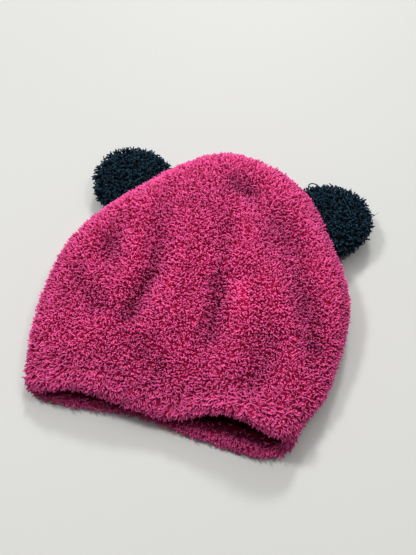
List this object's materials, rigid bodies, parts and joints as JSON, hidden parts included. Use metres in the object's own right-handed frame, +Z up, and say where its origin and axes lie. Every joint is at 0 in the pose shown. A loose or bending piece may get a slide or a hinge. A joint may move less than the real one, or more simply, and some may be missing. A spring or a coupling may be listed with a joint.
{
  "type": "child's plush knit hat with two round ears",
  "caption": "Soft plush knit hat for a small child, one hollow cap open at its mouth with two round padded ears on its side folds, lying flat on its back.",
  "frame": {"origin": "middle of the hat's box, on the surface that it lies on", "axes": "+X from the hat's left side fold in the picture to its right one, -Y out of the mouth, +Y towards the closed end, +Z up from the surface through the hat's thickness"},
  "size_m": [0.2158, 0.2126, 0.0468],
  "materials": {
    "plush_pink": "curly plush pile on both faces of a knit, raspberry pink",
    "plush_navy": "curly plush pile, dark navy"
  },
  "bodies": {
    "root": {"crown": "plush_pink", "ear_left": "plush_navy", "ear_right": "plush_navy"}
  },
  "joints": []
}
